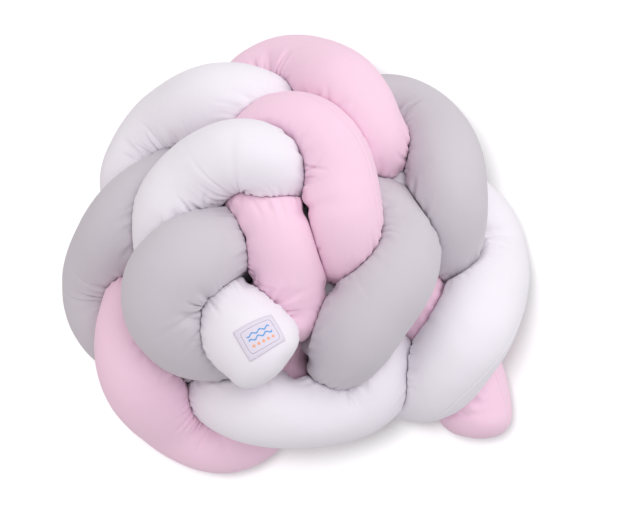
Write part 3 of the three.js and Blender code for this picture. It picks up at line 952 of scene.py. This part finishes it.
def sewn_edge_group():
    """A folded edge that meets the cloth in a fine groove, with a row of stitches beside it. Its Shade output
    is painted shade that darkens the groove and the gaps between the stitches.
    """
    group, given, result = new_group(
        "Sewn edge",
        {
            "Across": ("Float", 0.0),
            "Along": ("Float", 0.0),
            "Inset": ("Float", 4.5 * MM),
            "Stitch length": ("Float", 3.0 * MM),
        },
        {"Shade": "Float", "Height": "Float"},
    )
    calc = partial(maths, group)
    groove = within(group, calc("ABSOLUTE", given["Across"]), 0.3 * MM, soft=0.4 * MM)
    from_row = calc("SUBTRACT", given["Across"], given["Inset"])
    row = within(group, calc("ABSOLUTE", from_row), 0.35 * MM, soft=0.3 * MM)
    turns = calc("DIVIDE", given["Along"], given["Stitch length"])
    wave = calc("SINE", calc("MULTIPLY", turns, 2 * math.pi))
    thread = calc("MULTIPLY", row, calc("MULTIPLY_ADD", wave, 1.5, 0.8, clamp=True))
    height = calc("SUBTRACT", thread, calc("MULTIPLY_ADD", row, 0.5, groove))
    # painted shade: the groove and the gaps in the stitch row are made darker in the cloth's colour
    holes = calc("SUBTRACT", row, thread)
    shade = calc("MULTIPLY_ADD", holes, 0.1, calc("MULTIPLY", groove, 0.14))
    feed(group, result, {"Height": height, "Shade": shade})
    return group


def add_effect(tree, name, build, inputs):
    """A node of a shared effect. The effect is built where it is first used."""
    return add_node(tree, "ShaderNodeGroup", inputs, node_tree=bpy.data.node_groups.get(name) or build())


def cloth_material(name, colour, threads, weave_depth, tone):
    """Matt woven cotton. Gives the material, its cloth map's parts, and its nodes for tone and sewn edge."""
    material = bpy.data.materials.new(name)
    material.use_nodes = True
    tree = material.node_tree
    place = add_node(tree, "ShaderNodeTexCoord").outputs["Object"]
    cloth_map = add_node(tree, "ShaderNodeUVMap", uv_map="Cloth").outputs["UV"]
    edge = add_effect(tree, "Sewn edge", sewn_edge_group, {})
    # random tone of the dyed cloth, and painted shade from the sewn edge's groove and stitch gaps
    tone_and_painted_shade = {"Colour": colour, "Amount": tone, "Place": place, "Shade": edge.outputs["Shade"]}
    toned = add_effect(tree, "Cloth tone and painted shade", tone_and_shade_group, tone_and_painted_shade)
    weave = add_effect(tree, "Cotton weave", weave_group, {"Map": cloth_map, "Threads per metre": threads})
    woven = {"Strength": 0.5, "Distance": weave_depth, "Height": weave.outputs["Height"]}
    woven = add_node(tree, "ShaderNodeBump", woven).outputs["Normal"]
    sewn = {"Strength": 0.6, "Distance": 0.35 * MM, "Height": edge.outputs["Height"], "Normal": woven}
    looks = {
        "Base Color": toned.outputs["Colour"],
        "Roughness": 0.88,
        "Specular IOR Level": 0.25,
        "Sheen Weight": 0.25,
        "Sheen Roughness": 0.45,
        "Normal": add_node(tree, "ShaderNodeBump", sewn).outputs["Normal"],
    }
    feed(tree, tree.nodes["Principled BSDF"], looks)
    return material, apart(tree, cloth_map), toned, edge


def tube_material(name, colour, diameter):
    """The cotton of a tube, with its lengthwise seam."""
    material, place, _, edge = cloth_material(name, colour, threads=2900.0, weave_depth=0.06 * MM, tone=0.05)
    tree = material.node_tree
    half = math.pi * diameter / 2
    # the lengthwise seam's groove and stitch gaps get painted shade through the sewn edge
    feed(tree, edge, {"Across": maths(tree, "WRAP", place["Y"], half, -half), "Along": place["X"]})
    return material


def tag_material(tag, colours):
    """Woven ribbon with a stitched hem and a plain print: a thin frame, two waves and a row of dots."""
    material, place, toned, edge = cloth_material(
        "Tag ribbon", colours.ribbon, threads=2400.0, weave_depth=0.1 * MM, tone=0.02
    )
    tree = material.node_tree
    calc = partial(maths, tree)
    x = calc("SUBTRACT", place["X"], tag.length / 2)
    y = calc("SUBTRACT", place["Y"], tag.width / 2)
    sides = ((x, tag.length), (y, tag.width))
    from_side = [calc("SUBTRACT", size / 2, calc("ABSOLUTE", value)) for value, size in sides]
    # the hem's groove runs along the tag's very edge; it and the gaps between the stitches get painted shade,
    # a thin dark line round the tag
    hem = {
        "Across": calc("MINIMUM", *from_side),
        "Along": calc("ADD", x, y),
        "Inset": 1.6 * MM,
        "Stitch length": 2.2 * MM,
    }
    feed(tree, edge, hem)

    inset, corner, half_line = 4.8 * MM, 3.5 * MM, 0.25 * MM
    past = [calc("MAXIMUM", calc("SUBTRACT", inset + corner, away), 0.0) for away in from_side]
    from_frame = calc("SUBTRACT", distance_of(tree, *past), corner)
    frame_line = within(tree, calc("ABSOLUTE", from_frame), half_line)

    middle, apart_by, wave_length, wave_height = -2.4 * MM, 2.6 * MM, 1.35 * MM, 1.1 * MM
    half_wave_line, half_print = 0.95 * MM, 12.6 * MM
    wave = calc("MULTIPLY", calc("SINE", calc("DIVIDE", x, wave_length)), wave_height)
    folded = calc("ABSOLUTE", calc("SUBTRACT", y, middle))
    from_wave = calc("ABSOLUTE", calc("SUBTRACT", calc("SUBTRACT", folded, apart_by), wave))
    short = within(tree, calc("ABSOLUTE", x), half_print)
    waves = calc("MULTIPLY", within(tree, from_wave, half_wave_line), short)

    spacing, row, radius = 5.2 * MM, 6.0 * MM, 1.6 * MM
    from_dot = distance_of(tree, calc("WRAP", x, spacing / 2, -spacing / 2), calc("SUBTRACT", y, row))
    dots = calc("MULTIPLY", within(tree, from_dot, radius), short)

    ink_share, under = 0.9, colours.ribbon
    inks = ((frame_line, colours.print_line), (waves, colours.print_waves), (dots, colours.print_dots))
    for mask, ink in inks:
        inked = {"A": under, "B": ink, "Factor": calc("MULTIPLY", mask, ink_share)}
        under = add_node(tree, "ShaderNodeMix", inked, data_type="RGBA").outputs["Result"]
    feed(tree, toned, {"Colour": under})
    return material


def tag_points(tube, skin, tag, lift):
    """A grid of points on the tag's place of the white tube, lifted off it."""
    station = tube.length - tag.from_tip
    _, side, over = tube.section(np.array((station,)))
    radius = np.interp(station, skin.stations, skin.free)
    middle = math.atan2(side[0, 2], over[0, 2]) + tag.aside / radius
    span = TAG_SPAN * MM
    ends = np.array((station - span / 2, station + span / 2))
    near = points_over(tube, skin, ends, np.full(2, middle), 0)
    stretch = np.linalg.norm(near[1] - near[0]) / span
    along, across = (np.linspace(-0.5, 0.5, faces + 1) for faces in TAG_GRID)
    u, v = np.meshgrid(tag.length * along, tag.width * across, indexing="ij")
    ahead = u * math.cos(tag.turn) - v * math.sin(tag.turn)
    aside = u * math.sin(tag.turn) + v * math.cos(tag.turn)
    return points_over(tube, skin, station + ahead / stretch, middle + aside / radius, lift)


def points_over(tube, skin, stations, angles, lift):
    """Points at a height over a tube's skin, in the shape of the stations and angles."""
    flat_stations, flat_angles = stations.ravel(), angles.ravel()
    middle, side, over = tube.section(flat_stations)
    outwards = directions_of(side, over, flat_angles[:, None])[:, 0]
    points = middle + outwards * (skin_height(skin, flat_stations, flat_angles) + lift)[:, None]
    return points.reshape(*stations.shape, 3)


def skin_height(skin, stations, angles):
    """How far a skin is from its middle line at some stations and angles."""
    after = np.searchsorted(skin.stations, stations).clip(1, len(skin.stations) - 1)
    before, turn = after - 1, 2 * math.pi
    low, high = (
        np.array([np.interp(at, skin.angles[k], skin.radius[k], period=turn) for k, at in zip(rings, angles)])
        for rings in (before, after)
    )
    part = (stations - skin.stations[before]) / (skin.stations[after] - skin.stations[before])
    return low * (1 - part) + high * part


class BUMPER_OT_tubes(bpy.types.Operator):
    """Make the three stuffed tubes of the plait"""

    bl_idname = "bumper.tubes"
    bl_label = "Make the tubes"

    def execute(self, context):
        shape = context.scene.bumper_shape
        for name, (tube, skin) in knot(shape).items():
            piece = tube_piece(name + "_stuffed_tube", tube, skin, shape.diameter)
            colour = getattr(context.scene.bumper_colours, name)
            material = tube_material(name.capitalize() + " cotton", colour, shape.diameter)
            piece.data.materials.append(material)
            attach(piece, "root")
            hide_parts(name + "_tube")
        return {"FINISHED"}


class BUMPER_OT_tag(bpy.types.Operator):
    """Sew the woven tag on the white tube's upper end"""

    bl_idname = "bumper.tag"
    bl_label = "Sew the tag"

    def execute(self, context):
        scene = context.scene
        tag = scene.bumper_tag
        tube, skin = knot(scene.bumper_shape)["white"]
        lower = tag_points(tube, skin, tag, tag.lift)
        upper = tag_points(tube, skin, tag, tag.lift + tag.thickness)
        piece = sheet_piece("woven_tag", lower, upper, tag.length, tag.width)
        piece.data.materials.append(tag_material(tag, scene.bumper_colours))
        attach(piece, "root")
        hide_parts("sewn_tag")
        return {"FINISHED"}


def sheet_piece(name, lower, upper, length, width):
    """A closed thin sheet between two grids of points, with a map of its length and width."""
    rows, columns = lower.shape[:2]
    layer = rows * columns
    faces = []
    for i, j in np.ndindex(rows - 1, columns - 1):
        a = i * columns + j
        b, c, d = a + columns, a + columns + 1, a + 1
        faces += [(a, b, c, d), (layer + a, layer + d, layer + c, layer + b)]
    rim = [i * columns for i in range(rows)]
    rim += [(rows - 1) * columns + j for j in range(1, columns)]
    rim += [i * columns + columns - 1 for i in range(rows - 2, -1, -1)]
    rim += list(range(columns - 2, 0, -1))
    for here, following in zip(rim, rim[1:] + rim[:1]):
        faces.append((following, here, layer + here, layer + following))
    grid = [(length * i / (rows - 1), width * j / (columns - 1)) for i, j in np.ndindex(rows, columns)]
    corners = [corner % layer for face in faces for corner in face]
    points = np.vstack((lower.reshape(-1, 3), upper.reshape(-1, 3)))
    return new_piece(name, points, faces, np.array(grid)[corners])


class BUMPER_OT_stage(bpy.types.Operator):
    """Set up the floor, the light and the camera"""

    bl_idname = "bumper.stage"
    bl_label = "Set the stage"

    def execute(self, context):
        scene = context.scene
        stage = scene.bumper_stage
        floor = make_floor(stage.floor_colour)
        scene.collection.objects.link(floor)

        world = bpy.data.worlds.new("Studio")
        world.use_nodes = True
        sky = {"Color": (1.0, 0.985, 1.0, 1), "Strength": stage.sky_strength}
        feed(world.node_tree, world.node_tree.nodes["Background"], sky)
        scene.world = world
        lights = (
            add_light("key", (2.39, 2.39, 1.33), 2.0, stage.key_power, (1.0, 1.0, 0.96)),
            add_light("top", (0.87, 0.87, 3.48), 2.0, stage.top_power, (0.96, 1.0, 1.0)),
            add_light("fill", (-3.38, 0.0, 1.33), 2.0, stage.fill_power, (1.0, 0.9, 0.78)),
        )
        overhead = add_light("overhead", (-0.5, 0.5, 3.7), 0.9, stage.floor_power, (1.0, 1.0, 1.0))
        # the overhead light is for the floor only, and the others leave the floor out
        lit = bpy.data.collections.new("floor only")
        lit.objects.link(floor)
        overhead.light_linking.receiver_collection = lit
        unlit = bpy.data.collections.new("all but the floor")
        unlit.objects.link(floor)
        unlit.collection_objects[0].light_linking.link_state = "EXCLUDE"
        for light in lights:
            light.light_linking.receiver_collection = unlit

        camera_data = bpy.data.cameras.new("camera")
        camera_data.sensor_width = 36.0
        camera_data.lens = camera_data.sensor_width * stage.camera_height / stage.view_width
        camera = bpy.data.objects.new("camera", camera_data)
        camera.location = (stage.camera_aside, 0, stage.camera_height)
        scene.collection.objects.link(camera)
        scene.camera = camera
        scene.view_settings.view_transform = "Standard"
        return {"FINISHED"}


def make_floor(colour):
    """A large pale floor. It looks lighter to the camera than the light that it throws back."""
    half, below = 6.0, -0.2 * MM
    mesh = bpy.data.meshes.new("floor")
    corners = [(x * half, y * half, below) for x, y in ((-1, -1), (1, -1), (1, 1), (-1, 1))]
    mesh.from_pydata(corners, [], [(0, 1, 2, 3)])
    paint = bpy.data.materials.new("Pale floor")
    paint.use_nodes = True
    tree = paint.node_tree
    seen_by_camera = add_node(tree, "ShaderNodeLightPath").outputs["Is Camera Ray"]
    thrown_back = (0.5, 0.5, 0.5, 1)
    tones = {"A": thrown_back, "B": colour, "Factor": seen_by_camera}
    seen = add_node(tree, "ShaderNodeMix", tones, data_type="RGBA").outputs["Result"]
    looks = {"Base Color": seen, "Roughness": 0.9, "Specular IOR Level": 0.0}
    feed(tree, tree.nodes["Principled BSDF"], looks)
    mesh.materials.append(paint)
    return bpy.data.objects.new("floor", mesh)


def add_light(name, place, size, power, colour):
    """A square soft light that looks at the knot."""
    data = bpy.data.lights.new(name, "AREA")
    data.shape = "SQUARE"
    data.size = size
    data.energy = power
    data.color = colour
    light = bpy.data.objects.new(name, data)
    light.location = place
    light.rotation_euler = (Vector((0, 0, 0.1)) - Vector(place)).to_track_quat("-Z", "Y").to_euler()
    bpy.context.scene.collection.objects.link(light)
    return light


class BUMPER_PT_panel(bpy.types.Panel):
    """The bumper's steps and sizes"""

    bl_label = "Knotted crib bumper"
    bl_idname = "BUMPER_PT_panel"
    bl_space_type = "VIEW_3D"
    bl_region_type = "UI"
    bl_category = "Bumper"

    def draw(self, context):
        for name, settings in SETTINGS.items():
            box = self.layout.box()
            box.label(text=settings.__doc__)
            for sizes in settings.__annotations__:
                box.prop(getattr(context.scene, name), sizes)
        for operator in OPERATORS:
            self.layout.operator(operator.bl_idname)


SETTINGS = {
    "bumper_shape": BumperShape,
    "bumper_tag": BumperTag,
    "bumper_colours": BumperColours,
    "bumper_stage": BumperStage,
}
OPERATORS = (BUMPER_OT_tubes, BUMPER_OT_tag, BUMPER_OT_stage)
CLASSES = (*SETTINGS.values(), *OPERATORS, BUMPER_PT_panel)


def register():
    for cls in CLASSES:
        bpy.utils.register_class(cls)
    for name, cls in SETTINGS.items():
        setattr(bpy.types.Scene, name, bpy.props.PointerProperty(type=cls))


def unregister():
    for name in SETTINGS:
        delattr(bpy.types.Scene, name)
    for cls in reversed(CLASSES):
        bpy.utils.unregister_class(cls)


def main():
    register()
    bpy.ops.bumper.tubes()
    bpy.ops.bumper.tag()
    bpy.ops.bumper.stage()


if __name__ == "__main__":
    main()
